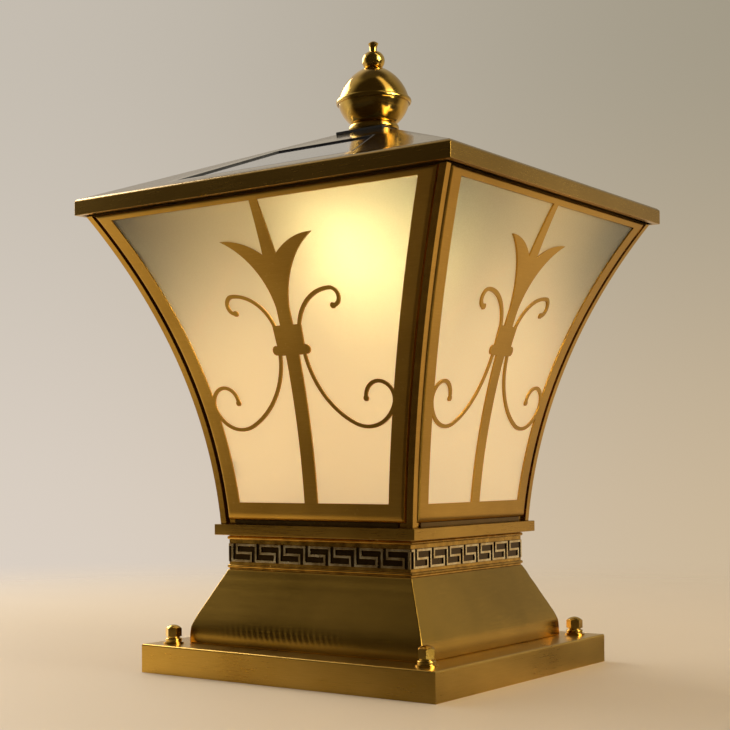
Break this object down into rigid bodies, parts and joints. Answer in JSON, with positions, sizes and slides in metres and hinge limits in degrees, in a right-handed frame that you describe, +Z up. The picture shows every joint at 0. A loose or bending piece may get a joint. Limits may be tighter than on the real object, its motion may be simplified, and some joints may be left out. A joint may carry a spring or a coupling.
{
  "type": "post cap lantern",
  "caption": "Square brass pillar-top lantern with flared frosted panes, scrollwork, key-pattern neck, shallow solar roof and ball finial.",
  "frame": {"origin": "middle of the base's underside, on the pillar's top face", "axes": "+Z up along the finial; -Y is the front face, +X the right face"},
  "size_m": [0.381, 0.381, 0.5651],
  "materials": {
    "antique_brass": "brushed antique brass under clear lacquer",
    "polished_brass": "turned and polished brass",
    "frosted_glass": "sandblasted cream glass",
    "solar_glass": "tempered glass over dark solar cells",
    "zinc_steel": "zinc plated",
    "black_rubber": "matt",
    "white_ceramic": "glazed",
    "white_plastic": "smooth",
    "opal_diffuser": "opal",
    "black_plastic": "fine texture",
    "green_board": "lacquered board",
    "grey_button": "soft touch",
    "battery_sleeve": "shrink sleeve"
  },
  "bodies": {
    "lantern": {"base_pan": "antique_brass", "battery_box": "black_plastic", "battery_cells": "battery_sleeve", "clip_screws": "zinc_steel", "controller_board": "green_board", "controller_case": "black_plastic", "corner_post_back_left": "antique_brass", "corner_post_back_right": "antique_brass", "corner_post_front_left": "antique_brass", "corner_post_front_right": "antique_brass", "electrics_tray": "zinc_steel", "frosted_pane_back": "frosted_glass", "frosted_pane_front": "frosted_glass", "frosted_pane_left": "frosted_glass", "frosted_pane_right": "frosted_glass", "hanger_strap": "zinc_steel", "hanger_tube": "zinc_steel", "holder_contacts": "polished_brass", "key_band_back": "antique_brass", "key_band_front": "antique_brass", "key_band_left": "antique_brass", "key_band_right": "antique_brass", "lampholder": "white_ceramic", "lattice_panel_back": "antique_brass", "lattice_panel_front": "antique_brass", "lattice_panel_left": "antique_brass", "lattice_panel_right": "antique_brass", "ledge": "antique_brass", "mounting_plate": "zinc_steel", "mounting_studs": "zinc_steel", "neck_core": "antique_brass", "pane_clips": "zinc_steel", "plinth_ring": "antique_brass", "sheet_screws": "zinc_steel", "skirt": "antique_brass", "stud_washers": "polished_brass", "top_ring": "zinc_steel", "tube_nuts": "zinc_steel"},
    "roof": {"roof_pan": "antique_brass", "roof_seat": "antique_brass", "solar_panel_front": "solar_glass", "solar_panel_right": "solar_glass", "solar_panel_back": "solar_glass", "solar_panel_left": "solar_glass", "solar_seals": "black_rubber", "solar_straps": "zinc_steel", "finial_gasket": "black_rubber"},
    "finial": {"finial_foot": "polished_brass", "finial_bowl": "polished_brass", "finial_dome": "polished_brass", "finial_band": "polished_brass", "finial_knob": "polished_brass"},
    "lamp": {"lamp_cap": "polished_brass", "lamp_collar": "white_plastic", "lamp_globe": "opal_diffuser"},
    "mode_button": {"mode_button": "grey_button"},
    "cap_nut_front_right": {"cap_nut_front_right": "polished_brass"},
    "cap_nut_back_right": {"cap_nut_back_right": "polished_brass"},
    "cap_nut_back_left": {"cap_nut_back_left": "polished_brass"},
    "cap_nut_front_left": {"cap_nut_front_left": "polished_brass"}
  },
  "joints": [
    {"name": "roof_lift", "type": "slide", "parent": "lantern", "child": "roof", "axis": [0, 0, 1], "range_m": [0, 0.15]},
    {"name": "finial_turn", "type": "hinge", "parent": "roof", "child": "finial", "pos_m": [0, 0, 0.5098], "axis": [0, 0, 1], "continuous": true},
    {"name": "lamp_turn", "type": "hinge", "parent": "lantern", "child": "lamp", "pos_m": [0, 0, 0.422], "axis": [0, 0, 1], "continuous": true},
    {"name": "button_press", "type": "slide", "parent": "lantern", "child": "mode_button", "axis": [0, 0, -1], "range_m": [0, 0.0015], "stiffness_N_per_m": 300},
    {"name": "nut_turn_front_right", "type": "hinge", "parent": "lantern", "child": "cap_nut_front_right", "pos_m": [0.13, -0.13, 0.03], "axis": [0, 0, 1], "continuous": true},
    {"name": "nut_turn_back_right", "type": "hinge", "parent": "lantern", "child": "cap_nut_back_right", "pos_m": [0.13, 0.13, 0.03], "axis": [0, 0, 1], "continuous": true},
    {"name": "nut_turn_back_left", "type": "hinge", "parent": "lantern", "child": "cap_nut_back_left", "pos_m": [-0.13, 0.13, 0.03], "axis": [0, 0, 1], "continuous": true},
    {"name": "nut_turn_front_left", "type": "hinge", "parent": "lantern", "child": "cap_nut_front_left", "pos_m": [-0.13, -0.13, 0.03], "axis": [0, 0, 1], "continuous": true}
  ]
}
